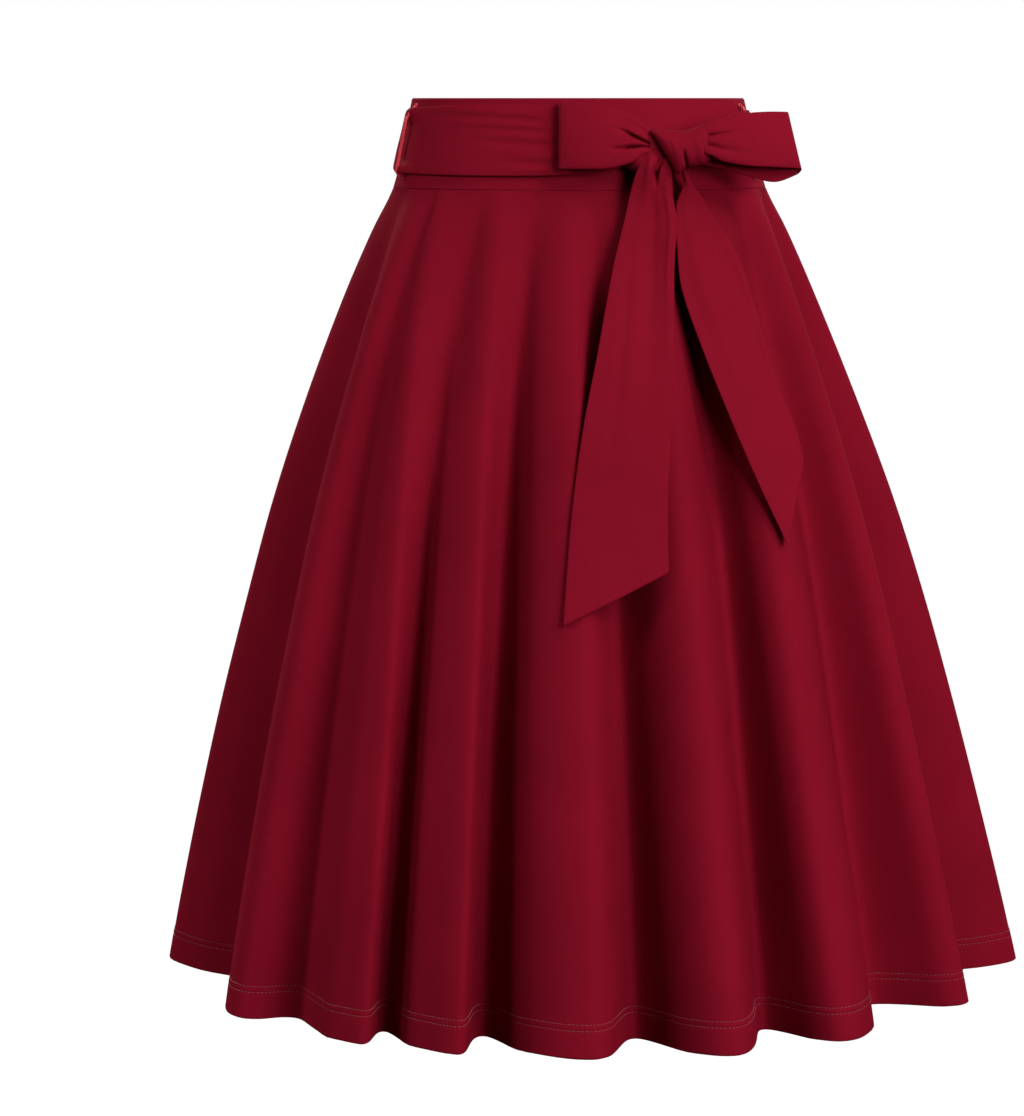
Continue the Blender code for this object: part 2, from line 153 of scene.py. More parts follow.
# Wrinkles along the sash: the angle and height of each at its two ends, its depth and half width
Wrinkle = namedtuple("Wrinkle", "start start_down end end_down depth half_width")
SASH_WRINKLES = (
    Wrinkle(292.0, 0.10, 350.0, 0.24, 0.0011, 0.045),
    Wrinkle(318.0, 0.33, 352.0, 0.38, 0.0007, 0.040),
    Wrinkle(322.0, 0.52, 352.0, 0.58, 0.0010, 0.050),
    Wrinkle(330.0, 0.80, 354.0, 0.84, 0.0011, 0.045),
    Wrinkle(40.0, 0.30, 74.0, 0.20, 0.0014, 0.060),
    Wrinkle(40.0, 0.62, 84.0, 0.66, 0.0013, 0.060),
    Wrinkle(104.0, 0.20, 150.0, 0.26, 0.0008, 0.050),
    Wrinkle(120.0, 0.70, 176.0, 0.62, 0.0008, 0.060),
    Wrinkle(170.0, 0.30, 226.0, 0.22, 0.0008, 0.050),
    Wrinkle(206.0, 0.76, 262.0, 0.70, 0.0009, 0.060),
)

# A bow loop is the sash doubled on itself: out from the knot, round its fold and back behind
LoopStation = namedtuple("LoopStation", "along x y top bottom slant")
LEFT_LOOP = (
    LoopStation(-0.010, 0.0600, -0.1110, 0.0040, -0.0045, 0.0),
    LoopStation(0.000, 0.0520, -0.1150, 0.0095, -0.0055, 0.0),
    LoopStation(0.0075, 0.0458, -0.1180, 0.0155, -0.0075, 0.0),
    LoopStation(0.018, 0.0380, -0.1200, 0.0210, -0.0130, 0.0),
    LoopStation(0.038, 0.0200, -0.1205, 0.0278, -0.0175, 0.0),
    LoopStation(0.058, 0.0005, -0.1175, 0.0307, -0.0182, 0.0),
    LoopStation(0.075, -0.0148, -0.1120, 0.0318, -0.0182, 0.0),
    LoopStation(0.080, -0.0166, -0.1085, 0.0320, -0.0180, 0.0),
    LoopStation(0.085, -0.0148, -0.1052, 0.0315, -0.0176, 0.0),
    LoopStation(0.102, 0.0005, -0.1042, 0.0290, -0.0165, 0.0),
    LoopStation(0.127, 0.0250, -0.1025, 0.0215, -0.0150, 0.0),
    LoopStation(0.160, 0.0560, -0.1010, 0.0060, -0.0080, 0.0),
)
LEFT_FOLD_AT = 0.080
RIGHT_LOOP = (
    LoopStation(-0.010, 0.0850, -0.1180, 0.0110, -0.0060, 0.0),
    LoopStation(0.000, 0.0930, -0.1205, 0.0145, -0.0060, 0.0),
    LoopStation(0.008, 0.0995, -0.1200, 0.0172, -0.0085, 0.001),
    LoopStation(0.016, 0.1060, -0.1188, 0.0195, -0.0120, 0.002),
    LoopStation(0.034, 0.1240, -0.1150, 0.0228, -0.0155, 0.004),
    LoopStation(0.054, 0.1430, -0.1090, 0.0242, -0.0168, 0.007),
    LoopStation(0.073, 0.1600, -0.1010, 0.0242, -0.0180, 0.010),
    LoopStation(0.078, 0.1622, -0.0975, 0.0240, -0.0195, 0.010),
    LoopStation(0.083, 0.1600, -0.0942, 0.0230, -0.0230, 0.008),
    LoopStation(0.099, 0.1445, -0.0935, 0.0190, -0.0285, 0.005),
    LoopStation(0.120, 0.1240, -0.0950, 0.0130, -0.0232, 0.002),
    LoopStation(0.136, 0.1080, -0.0990, 0.0090, -0.0185, 0.0),
    LoopStation(0.155, 0.0900, -0.1060, 0.0050, -0.0145, 0.0),
)
RIGHT_FOLD_AT = 0.078
BOW_LEAN = 0.25

# A crease is a line of points on a loop or tail: place along it and across it, depth, half width
CreasePoint = namedtuple("CreasePoint", "along across depth half_width")
LEFT_LOOP_CREASES = (
    (
        CreasePoint(0.000, 0.60, 0.0060, 0.080),
        CreasePoint(0.004, 0.57, 0.0075, 0.065),
        CreasePoint(0.0155, 0.44, 0.0085, 0.052),
        CreasePoint(0.023, 0.37, 0.0040, 0.050),
        CreasePoint(0.033, 0.34, 0.0000, 0.050),
    ),
    (
        CreasePoint(0.000, 0.76, 0.0030, 0.080),
        CreasePoint(0.006, 0.74, 0.0055, 0.060),
        CreasePoint(0.018, 0.68, 0.0062, 0.050),
        CreasePoint(0.027, 0.69, 0.0028, 0.048),
        CreasePoint(0.038, 0.69, 0.0000, 0.048),
    ),
    (
        CreasePoint(0.000, 0.18, 0.0014, 0.110),
        CreasePoint(0.020, 0.16, 0.0014, 0.110),
        CreasePoint(0.050, 0.14, 0.0000, 0.110),
    ),
)
RIGHT_LOOP_CREASES = (
    (
        CreasePoint(-0.004, 0.42, 0.0030, 0.060),
        CreasePoint(0.012, 0.38, 0.0024, 0.055),
        CreasePoint(0.030, 0.34, 0.0008, 0.055),
        CreasePoint(0.040, 0.33, 0.0000, 0.055),
    ),
    (
        CreasePoint(-0.004, 0.72, 0.0020, 0.080),
        CreasePoint(0.014, 0.72, 0.0018, 0.080),
        CreasePoint(0.040, 0.76, 0.0000, 0.080),
    ),
)

# The tails of the sash: both edges of the cloth at each distance from the knot
TailStation = namedtuple("TailStation", "along left_x left_drop right_x right_drop lift")
LEFT_TAIL = (
    TailStation(-0.018, 0.0500, 0.0040, 0.0650, 0.0040, 0.0210),
    TailStation(-0.009, 0.0468, 0.0120, 0.0700, 0.0130, 0.0240),
    TailStation(0.000, 0.0428, 0.0220, 0.0714, 0.0220, 0.0228),
    TailStation(0.016, 0.0380, 0.0375, 0.0717, 0.0385, 0.0170),
    TailStation(0.036, 0.0330, 0.0577, 0.0742, 0.0590, 0.0108),
    TailStation(0.068, 0.0249, 0.0896, 0.0715, 0.0896, 0.0060),
    TailStation(0.136, 0.0121, 0.1573, 0.0705, 0.1573, 0.0045),
    TailStation(0.194, 0.0010, 0.2151, 0.0684, 0.2100, 0.0040),
    TailStation(0.256, -0.0071, 0.2775, 0.0655, 0.2600, 0.0040),
    TailStation(0.332, -0.0128, 0.3537, 0.0659, 0.3153, 0.0040),
)
RIGHT_TAIL = (
    TailStation(-0.010, 0.0772, 0.0120, 0.0802, 0.0120, 0.0180),
    TailStation(0.000, 0.0786, 0.0215, 0.0836, 0.0215, 0.0190),
    TailStation(0.009, 0.0800, 0.0300, 0.0875, 0.0295, 0.0175),
    TailStation(0.018, 0.0768, 0.0375, 0.0920, 0.0370, 0.0152),
    TailStation(0.030, 0.0736, 0.0480, 0.0978, 0.0465, 0.0122),
    TailStation(0.052, 0.0738, 0.0811, 0.1110, 0.0680, 0.0076),
    TailStation(0.080, 0.0765, 0.1080, 0.1250, 0.0960, 0.0045),
    TailStation(0.120, 0.0890, 0.1450, 0.1400, 0.1450, 0.0040),
    TailStation(0.172, 0.1100, 0.1970, 0.1530, 0.1870, 0.0040),
    TailStation(0.228, 0.1337, 0.2514, 0.1650, 0.2170, 0.0040),
    TailStation(0.280, 0.1572, 0.3007, 0.1702, 0.2386, 0.0040),
)
LEFT_TAIL_CREASES = (
    (
        CreasePoint(-0.014, 0.93, 0.0040, 0.060),
        CreasePoint(-0.010, 0.70, 0.0080, 0.065),
        CreasePoint(-0.003, 0.56, 0.0090, 0.065),
        CreasePoint(0.004, 0.55, 0.0040, 0.070),
        CreasePoint(0.011, 0.57, 0.0000, 0.080),
    ),
    (
        CreasePoint(-0.014, 0.34, -0.0010, 0.130),
        CreasePoint(0.000, 0.37, -0.0026, 0.120),
        CreasePoint(0.014, 0.38, -0.0018, 0.120),
        CreasePoint(0.034, 0.40, 0.0000, 0.120),
    ),
    (
        CreasePoint(0.008, 0.52, 0.0000, 0.120),
        CreasePoint(0.040, 0.55, 0.0036, 0.140),
        CreasePoint(0.090, 0.62, 0.0030, 0.150),
        CreasePoint(0.150, 0.68, 0.0012, 0.150),
        CreasePoint(0.210, 0.72, 0.0000, 0.150),
    ),
    (
        CreasePoint(-0.004, 0.86, -0.0006, 0.080),
        CreasePoint(0.030, 0.88, -0.0022, 0.080),
        CreasePoint(0.090, 0.92, -0.0018, 0.070),
        CreasePoint(0.150, 0.94, 0.0000, 0.070),
    ),
    (
        CreasePoint(0.030, 0.22, 0.0000, 0.080),
        CreasePoint(0.110, 0.30, 0.0012, 0.080),
        CreasePoint(0.200, 0.36, 0.0010, 0.080),
        CreasePoint(0.260, 0.40, 0.0000, 0.080),
    ),
)
RIGHT_TAIL_CREASES = (
    (
        CreasePoint(0.014, 0.34, 0.0000, 0.160),
        CreasePoint(0.050, 0.34, -0.0024, 0.150),
        CreasePoint(0.130, 0.36, -0.0016, 0.140),
        CreasePoint(0.220, 0.36, 0.0000, 0.140),
    ),
    (
        CreasePoint(0.030, 0.80, 0.0000, 0.100),
        CreasePoint(0.080, 0.82, 0.0026, 0.100),
        CreasePoint(0.160, 0.84, 0.0018, 0.090),
        CreasePoint(0.240, 0.84, 0.0000, 0.090),
    ),
)

# The knot's outer wrap: its top, bottom and how far forward it stands at each place across it
WrapColumn = namedtuple("WrapColumn", "x top bottom front")
KNOT_WRAP = (
    WrapColumn(0.0535, 0.0108, 0.0082, 0.0040),
    WrapColumn(0.0580, 0.0105, 0.0032, 0.0080),
    WrapColumn(0.0621, 0.0104, -0.0036, 0.0108),
    WrapColumn(0.0658, 0.0102, -0.0094, 0.0125),
    WrapColumn(0.0694, 0.0100, -0.0150, 0.0135),
    WrapColumn(0.0718, 0.0100, -0.0196, 0.0135),
    WrapColumn(0.0734, 0.0099, -0.0218, 0.0132),
    WrapColumn(0.0760, 0.0099, -0.0198, 0.0130),
    WrapColumn(0.0790, 0.0100, -0.0174, 0.0128),
    WrapColumn(0.0820, 0.0106, -0.0166, 0.0128),
    WrapColumn(0.0860, 0.0120, -0.0158, 0.0124),
    WrapColumn(0.0905, 0.0138, -0.0150, 0.0112),
    WrapColumn(0.0945, 0.0142, -0.0135, 0.0080),
    WrapColumn(0.0985, 0.0130, -0.0100, 0.0020),
)
KNOT_BACK = -0.1125
# Creases in the wrap: x at the top and at the bottom end, how far down each reaches, depth, width
KnotCrease = namedtuple("KnotCrease", "x_above above x_below below depth half_width")
KNOT_CREASES = (
    KnotCrease(0.0768, 0.44, 0.0797, 0.95, 0.0042, 0.0013),
    KnotCrease(0.0660, 0.28, 0.0700, 0.72, 0.0008, 0.0024),
    KnotCrease(0.0845, 0.30, 0.0868, 0.80, 0.0009, 0.0030),
    KnotCrease(0.0900, 0.24, 0.0925, 0.62, 0.0010, 0.0016),
)

# The rounded end of the sash under the left loop: where it runs and how wide and deep it is
EndStation = namedtuple("EndStation", "along x y z half_width arch")
SASH_END = (
    EndStation(0.000, 0.0600, -0.1090, -0.0080, 0.0070, 0.0050),
    EndStation(0.010, 0.0510, -0.1170, -0.0120, 0.0082, 0.0055),
    EndStation(0.020, 0.0425, -0.1185, -0.0148, 0.0080, 0.0055),
    EndStation(0.028, 0.0362, -0.1130, -0.0160, 0.0062, 0.0050),
    EndStation(0.034, 0.0342, -0.1040, -0.0165, 0.0045, 0.0040),
)

BELT_LOOP_ANGLE = 71.0
BELT_LOOP_TOP = 0.0300
BELT_LOOP_BOTTOM = -0.0270
BELT_LOOP_OUT = 0.0082
SASH_FLARE = 0.0042
CHAIN_RADIUS = 0.00055
CHAIN_SWING = 0.00065
CHAIN_PITCH = 0.0026

ZIP_BOTTOM = -0.215
ZIP_HALF_WIDTH_AT_TOP = 0.28
ZIP_HALF_WIDTH_AT_END = 0.16
ZIP_INSIDE = 0.0028
ZIP_TAPE_CLOTH = 0.0006
COIL_PITCH = 0.0016
COIL_RADIUS = 0.0011
COIL_WIRE = 0.0003

# Camera: level with the waist, where the photograph was taken from
CAMERA_PLACE = Vector((0.0, -2.8, 0.035))
CAMERA_YAW = 1.125
CAMERA_PITCH = 7.458
SENSOR = 36.0
LENS = 113.35
# The floor lies far under the hem, so that the skirt also shows from below
FLOOR_HEIGHT = -3.6
FLOOR_RADIUS = 30.0

# Soft studio lights round the skirt: azimuth from its front, height above level, power in watts
StudioLight = namedtuple("StudioLight", "name azimuth elevation size power")
STUDIO_LIGHTS = (
    StudioLight("left_side", -85.0, 15.0, 1.0, 38.0),
    StudioLight("left_front", -58.0, 25.0, 1.0, 24.0),
    StudioLight("right_front", 30.0, 14.0, 1.0, 62.0),
    StudioLight("right_front_high", 35.0, 60.0, 1.0, 18.0),
    StudioLight("right", 50.0, 33.0, 1.0, 50.0),
    StudioLight("right_side", 75.0, 40.0, 1.0, 10.0),
    StudioLight("back_left", 208.0, 34.0, 1.2, 70.0),
    StudioLight("back_right", 150.0, 28.0, 1.2, 50.0),
    StudioLight("below", 0.0, -88.0, 1.5, 30.0),
)
LIT_CENTRE = Vector((0.0, 0.0, -0.30))
LIGHT_DISTANCE = 3.6


def table_slope(table, index, column):
    before = table[max(index - 1, 0)]
    after = table[min(index + 1, len(table) - 1)]
    return (after[column] - before[column]) / (after[0] - before[0])


def smooth(f):
    return f * f * (3.0 - 2.0 * f)


def fade(value, start, end):
    """0 before start, 1 after end, and smooth between them; start may be above end."""
    return smooth(min(max((value - start) / (end - start), 0.0), 1.0))


def bump_of(distance, half_width):
    return math.exp(-((distance / half_width) ** 2))


def hermite(start, end, leaving, arriving, f):
    ease = smooth(f)
    return (
        start * (1.0 - ease)
        + end * ease
        + leaving * f * (1.0 - f) ** 2
        - arriving * f * f * (1.0 - f)
    )


@lru_cache(maxsize=None)
def read_table(table, at):
    """The row at any value of a table's first column, on a smooth curve through its rows."""
    index = 0
    while index < len(table) - 2 and table[index + 1][0] <= at:
        index += 1
    start = table[index]
    end = table[index + 1]
    span = end[0] - start[0]
    f = min(max((at - start[0]) / span, 0.0), 1.0)
    values = []
    for column in range(len(start)):
        leaving = table_slope(table, index, column) * span
        arriving = table_slope(table, index + 1, column) * span
        values.append(hermite(start[column], end[column], leaving, arriving, f))
    return type(start)(*values)


def spread(first, last, count):
    """Evenly spaced values from first to last, count steps apart."""
    return [first + (last - first) * step / count for step in range(count + 1)]


def ring_point(angle, height, out=0.0):
    """A point of the worn shape, moved out square to its ring."""
    ring = read_table(BODY_RINGS, -height)
    turn = math.radians(angle)
    across = Vector((math.sin(turn) / ring.half_width, -math.cos(turn) / ring.half_depth, 0.0))
    point = Vector((
        ring.centre_x + ring.half_width * math.sin(turn),
        -ring.half_depth * math.cos(turn),
        height,
    ))
    return point + across.normalized() * out


def front_point(x, height, out):
    """The point in front of the worn shape at a given x and height."""
    ring = read_table(BODY_RINGS, -height)
    turn = math.asin((x - ring.centre_x) / (ring.half_width + out))
    return ring_point(math.degrees(turn), height, out)


@lru_cache(maxsize=None)
def knot_angle(index, fall):
    """The angle of a ridge (even index) or valley (odd index) at a fall."""
    lap, place = divmod(index, 2 * ROUND)
    fold = SKIRT_FOLDS[place // 2]
    if place % 2 == 0:
        at_waist, at_hem = fold.ridge_at_waist, fold.ridge_at_hem
    else:
        at_waist, at_hem = fold.valley_at_waist, fold.valley_at_hem
    return at_hem + (at_waist - at_hem) * (1.0 - fall) ** ANGLE_DRIFT + 360.0 * lap


def knot_inset(index):
    place = index % (2 * ROUND)
    fold = SKIRT_FOLDS[place // 2]
    return fold.depth if place % 2 else fold.set_back


def fold_at(place, fall):
    """Angle and inset of the folded cloth."""
    index = math.floor(place * 2.0)
    f = place * 2.0 - index
    before, start, end, after = (knot_angle(index + step, fall) for step in (-1, 0, 1, 2))
    angle = hermite(start, end, (end - before) / 2.0, (after - start) / 2.0, f)
    climbing = index % 2 == 1
    step = 1.0 - (1.0 - f) ** RIDGE_SHOULDER if climbing else f
    inset = knot_inset(index) + (knot_inset(index + 1) - knot_inset(index)) * smooth(step)
    return angle, inset * fall ** FOLD_GROWTH


def soft_relief(place, fall):
    """Height of the secondary creases and of the cloth's slow wandering."""
    relief = 0.0
    for crease in SOFT_CREASES:
        away = (place - crease.place + ROUND / 2) % ROUND - ROUND / 2
        if abs(away) < 3.0 * crease.half_width and fall > crease.begins:
            grown = fade(fall, crease.begins, 1.0) ** 0.7
            relief += crease.height * grown * bump_of(away, crease.half_width)
    turn = 2.0 * math.pi * place / ROUND
    spot = Vector((5.0 * math.cos(turn), 5.0 * math.sin(turn), 1.3 * fall))
    relief += FOLDS_WANDER * noise.noise(spot) * fade(fall, 0.0, 0.3)
    return relief


def skirt_point(place, fall):
    """A point of the skirt's outer surface."""
    angle, inset = fold_at(place, fall)
    top = WAIST_SEAM - SEAM_GAP
    out = soft_relief(place, fall) - inset
    point = ring_point(angle, top + (RIDGE_HEM - top) * fall, out)
    point.z -= inset * VALLEY_SAG
    return point


def square_to(surface, u, v, step_u=0.01, step_v=0.004):
    """The outward direction of a surface whose u runs right and v runs down."""
    across = surface(u + step_u, v) - surface(u - step_u, v)
    down = surface(u, v + step_v) - surface(u, v - step_v)
    return down.cross(across).normalized()


def skirt_square(place, fall):
    return square_to(skirt_point, place, min(max(fall, 0.004), 0.996))


def cloth_material(name, dark, light, roughness, sheen, weave_size, weave_depth):
    """Woven cloth: fine crossing ribs along its own length and width, with slow colour changes."""
    material = bpy.data.materials.new(name)
    material.use_nodes = True
    nodes = material.node_tree.nodes
    links = material.node_tree.links
    shader = nodes["Principled BSDF"]
    shader.inputs["Roughness"].default_value = roughness
    shader.inputs["Sheen Weight"].default_value = sheen
    shader.inputs["Sheen Roughness"].default_value = 0.35
    shader.inputs["Sheen Tint"].default_value = (1.0, 0.06, 0.12, 1.0)
    shader.inputs["Specular IOR Level"].default_value = 0.015

    place = nodes.new("ShaderNodeTexCoord")
    ribs = []
    for direction in ("X", "Y"):
        wave = nodes.new("ShaderNodeTexWave")
        wave.bands_direction = direction
        wave.inputs["Scale"].default_value = 0.314 / weave_size
        wave.inputs["Distortion"].default_value = 0.6
        wave.inputs["Detail"].default_value = 1.0
        links.new(place.outputs["UV"], wave.inputs["Vector"])
        ribs.append(wave)
    crossed = nodes.new("ShaderNodeMath")
    crossed.operation = "MULTIPLY"
    links.new(ribs[0].outputs["Fac"], crossed.inputs[0])
    links.new(ribs[1].outputs["Fac"], crossed.inputs[1])

    slow = nodes.new("ShaderNodeTexNoise")
    slow.inputs["Scale"].default_value = 9.0
    slow.inputs["Detail"].default_value = 3.0
    links.new(place.outputs["Object"], slow.inputs["Vector"])
    fibre = nodes.new("ShaderNodeTexNoise")
    fibre.inputs["Scale"].default_value = 900.0
    fibre.inputs["Detail"].default_value = 2.0
    links.new(place.outputs["Object"], fibre.inputs["Vector"])
    mixed = nodes.new("ShaderNodeMath")
    mixed.operation = "MULTIPLY_ADD"
    mixed.inputs[1].default_value = 0.55
    links.new(slow.outputs["Fac"], mixed.inputs[0])
    thread = nodes.new("ShaderNodeMath")
    thread.operation = "MULTIPLY"
    thread.inputs[1].default_value = 0.45
    links.new(fibre.outputs["Fac"], thread.inputs[0])
    links.new(thread.outputs[0], mixed.inputs[2])
    tint = nodes.new("ShaderNodeValToRGB")
    tint.color_ramp.elements[0].position = 0.35
    tint.color_ramp.elements[0].color = (*dark, 1.0)
    tint.color_ramp.elements[1].position = 0.65
    tint.color_ramp.elements[1].color = (*light, 1.0)
    links.new(mixed.outputs[0], tint.inputs["Fac"])
    links.new(tint.outputs["Color"], shader.inputs["Base Color"])

    relief = nodes.new("ShaderNodeBump")
    relief.inputs["Strength"].default_value = 0.5
    relief.inputs["Distance"].default_value = weave_depth
    links.new(crossed.outputs[0], relief.inputs["Height"])
    links.new(relief.outputs["Normal"], shader.inputs["Normal"])
    return material


def thread_material(name, colour, roughness, twist_size):
    """Glossy twisted thread, with painted shade: its colour darkens in the twist's grooves."""
    material = bpy.data.materials.new(name)
    material.use_nodes = True
    nodes = material.node_tree.nodes
    links = material.node_tree.links
    shader = nodes["Principled BSDF"]
    shader.inputs["Roughness"].default_value = roughness
    shader.inputs["Sheen Weight"].default_value = 0.3
    place = nodes.new("ShaderNodeTexCoord")
    twist = nodes.new("ShaderNodeTexWave")
    twist.bands_direction = "DIAGONAL"
    twist.inputs["Scale"].default_value = 0.314 / twist_size
    links.new(place.outputs["Object"], twist.inputs["Vector"])
    # Painted shade: the darker end of this ramp falls where the twist's bump is low, so the grooves are
    # painted darker.
    tint = nodes.new("ShaderNodeValToRGB")
    tint.color_ramp.elements[0].color = (colour[0] * 0.72, colour[1] * 0.7, colour[2] * 0.7, 1.0)
    tint.color_ramp.elements[1].color = (*colour, 1.0)
    links.new(twist.outputs["Fac"], tint.inputs["Fac"])
    links.new(tint.outputs["Color"], shader.inputs["Base Color"])
    relief = nodes.new("ShaderNodeBump")
    relief.inputs["Strength"].default_value = 0.6
    relief.inputs["Distance"].default_value = twist_size * 0.2
    links.new(twist.outputs["Fac"], relief.inputs["Height"])
    links.new(relief.outputs["Normal"], shader.inputs["Normal"])
    return material


SKIRT_CLOTH = cloth_material(
    "skirt_cloth", (0.192, 0.0042, 0.0148), (0.238, 0.0053, 0.0188), 0.80, 0.0, 0.0007, 0.00012)
SASH_FABRIC = cloth_material(
    "sash_cloth", (0.197, 0.0043, 0.0152), (0.242, 0.0054, 0.0192), 0.78, 0.0, 0.0007, 0.00012)
ZIP_TAPE = cloth_material(
    "zip_tape", (0.110, 0.0030, 0.0090), (0.150, 0.0040, 0.0120), 0.75, 0.1, 0.0010, 0.00020)
SEAM_THREAD = thread_material("seam_thread", (0.270, 0.0070, 0.0220), 0.5, 0.0005)
CARRIER_THREAD = thread_material("carrier_thread", (0.860, 0.0130, 0.0450), 0.38, 0.0009)
COIL_NYLON = thread_material("coil_nylon", (0.150, 0.0040, 0.0120), 0.35, 0.0008)


def add_object(name, mesh, material):
    """A new piece of the object that rides on its one body."""
    mesh.materials.append(material)
    mesh.shade_smooth()
    piece = bpy.data.objects.new(name, mesh)
    bpy.context.scene.collection.objects.link(piece)
    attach(piece, "root")
    return piece


def running_lengths(points):
    """The length along a line of points up to each of them."""
    lengths = [0.0]
    for before, after in zip(points, points[1:]):
        lengths.append(lengths[-1] + (after - before).length)
    return lengths


def grid_mesh(name, rows):
    """A mesh on rows of points, from left to right and from the top down, with its own length as UV."""
    form = bmesh.new()
    marks = form.loops.layers.uv.new("cloth")
    grid = [[form.verts.new(point) for point in row] for row in rows]
    across = running_lengths(rows[len(rows) // 2])
    centre = len(rows[0]) // 2
    down = running_lengths([row[centre] for row in rows])
    for r in range(len(rows) - 1):
        for c in range(len(rows[0]) - 1):
            corners = ((r, c), (r + 1, c), (r + 1, c + 1), (r, c + 1))
            face = form.faces.new([grid[i][j] for i, j in corners])
            for loop, (i, j) in zip(face.loops, corners):
                loop[marks].uv = (across[j], -down[i])
    mesh = bpy.data.meshes.new(name)
    form.to_mesh(mesh)
    form.free()
    return mesh


def add_cloth(name, rows, thickness, offset, material):
    piece = add_object(name, grid_mesh(name, rows), material)
    wall = piece.modifiers.new("Wall", "SOLIDIFY")
    wall.thickness = thickness
    wall.offset = offset
    wall.use_even_offset = True
    wall.use_quality_normals = True
    return piece


def seam_places(first, last, count):
    """Places across a panel, crowded at its two seams."""
    near = [0.0, 0.0007, 0.0016, 0.003, 0.006]
    inner = spread(0.012, 1.0 - 0.012, count)
    steps = near + inner + [1.0 - step for step in reversed(near)]
    return [first + (last - first) * step for step in steps]


def roll_in(distance):
    """How far cloth is drawn in beside a seam."""
    return -SEAM_ROLL * math.exp(-distance / SEAM_ROLL_REACH)


def skirt_rows(first, last, count):
    """The panel's points, down its outside, round the hem's fold and up the turning inside."""
    places = seam_places(first, last, count)
    near_waist = [0.0, 0.0012, 0.003, 0.006, 0.011, 0.018]
    body = spread(0.027, 0.948, 62)
    near_hem = spread(0.951, 1.0, 34)
    falls = near_waist + body + near_hem
    square = {}
    for fall in falls:
        for place in places:
            square[place, fall] = skirt_square(place, fall)
    ends = {fall: (skirt_point(places[0], fall), skirt_point(places[-1], fall)) for fall in falls}
    rows = []
    for fall in falls:
        row = []
        from_hem = (1.0 - fall) * SKIRT_FALL
        dent = sum(-HEM_DENT * bump_of(from_hem - up, HEM_DENT_HALF_WIDTH) for up in HEM_STITCH_ROWS)
        puff = HEM_PUFF * fade(from_hem, HEM_TURNING + HEM_PUFF_FADE, HEM_TURNING - HEM_PUFF_FADE)
        for place in places:
            point = skirt_point(place, fall)
            beside = min((point - end).length for end in ends[fall])
            out = roll_in(beside) + roll_in(fall * SKIRT_FALL) + dent + puff
            row.append(point + square[place, fall] * out)
        rows.append(row)
    layer = CLOTH + HEM_LAYER_GAP / 2.0
    bottom = rows[-1]
    for turn in spread(0.0, 180.0, 6)[1:]:
        angle = math.radians(turn)
        row = []
        for place, point in zip(places, bottom):
            inward = -square[place, 1.0]
            row.append(point + inward * layer * (1.0 - math.cos(angle))
                       + Vector((0.0, 0.0, -layer * math.sin(angle))))
        rows.append(row)
    for fall in [f for f in reversed(near_hem) if (1.0 - f) * SKIRT_FALL < HEM_TURNING][1::2]:
        outer = rows[falls.index(fall)]
        rows.append([point - square[place, fall] * 2.0 * layer for place, point in zip(places, outer)])
    return rows


def add_skirt_panel(name, node, first, last):
    count = round((last - first) * 26)
    panel = add_cloth(name, skirt_rows(first, last, count), CLOTH, -1.0, SKIRT_CLOTH)
    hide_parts(node)
    return panel


def bead(form, start, end, out, radius):
    """One stitch: a bead of thread from start to end, sunk at its ends."""
    along = end - start
    side = along.cross(out).normalized()
    rings = []
    for f, size, rise in ((0.12, 0.75, 0.2), (0.5, 1.0, 0.7), (0.88, 0.75, 0.2)):
        centre = start + along * f + out * radius * rise
        ring = []
        for step in range(6):
            angle = math.radians(60.0 * step)
            spoke = side * math.cos(angle) + out * math.sin(angle)
            ring.append(form.verts.new(centre + spoke * radius * size))
        rings.append(ring)
    tips = [form.verts.new(start - out * radius * 0.5), form.verts.new(end - out * radius * 0.5)]
    for step in range(6):
        after = (step + 1) % 6
        form.faces.new((tips[0], rings[0][step], rings[0][after]))
        form.faces.new((tips[1], rings[2][after], rings[2][step]))
        for lower, upper in zip(rings, rings[1:]):
            form.faces.new((lower[step], upper[step], upper[after], lower[after]))


def add_stitches(name, lines, material):
    """Rows of stitches; each line is a list of (point, outward direction) close together."""
    form = bmesh.new()
    for line in lines:
        lengths = running_lengths([point for point, _ in line])

        def at(distance):
            index = 0
            low, high = 0, len(lengths) - 2
            while low <= high:
                index = (low + high) // 2
                if lengths[index + 1] < distance:
                    low = index + 1
                elif lengths[index] > distance:
                    high = index - 1
                else:
                    break
            f = (distance - lengths[index]) / max(lengths[index + 1] - lengths[index], 1e-9)
            start, end = line[index], line[index + 1]
            return start[0].lerp(end[0], f), start[1].lerp(end[1], f).normalized()

        for number in range(int(lengths[-1] / STITCH_PITCH)):
            first, out = at(number * STITCH_PITCH + FIRST_STITCH_AT)
            last, _ = at(number * STITCH_PITCH + FIRST_STITCH_AT + STITCH_LENGTH)
            bead(form, first, last, out, THREAD_RADIUS)
    bmesh.ops.recalc_face_normals(form, faces=form.faces)
    mesh = bpy.data.meshes.new(name)
    form.to_mesh(mesh)
    form.free()
    return add_object(name, mesh, material)


def add_hem_stitches(name, first, last):
    lines = []
    for up in HEM_STITCH_ROWS:
        fall = 1.0 - up / SKIRT_FALL
        places = spread(first + 0.01, last - 0.01, round((last - first) * 40))
        line = []
        for place in places:
            out = skirt_square(place, fall)
            line.append((skirt_point(place, fall) + out * STITCH_LIFT, out))
        lines.append(line)
    return add_stitches(name, lines, SEAM_THREAD)


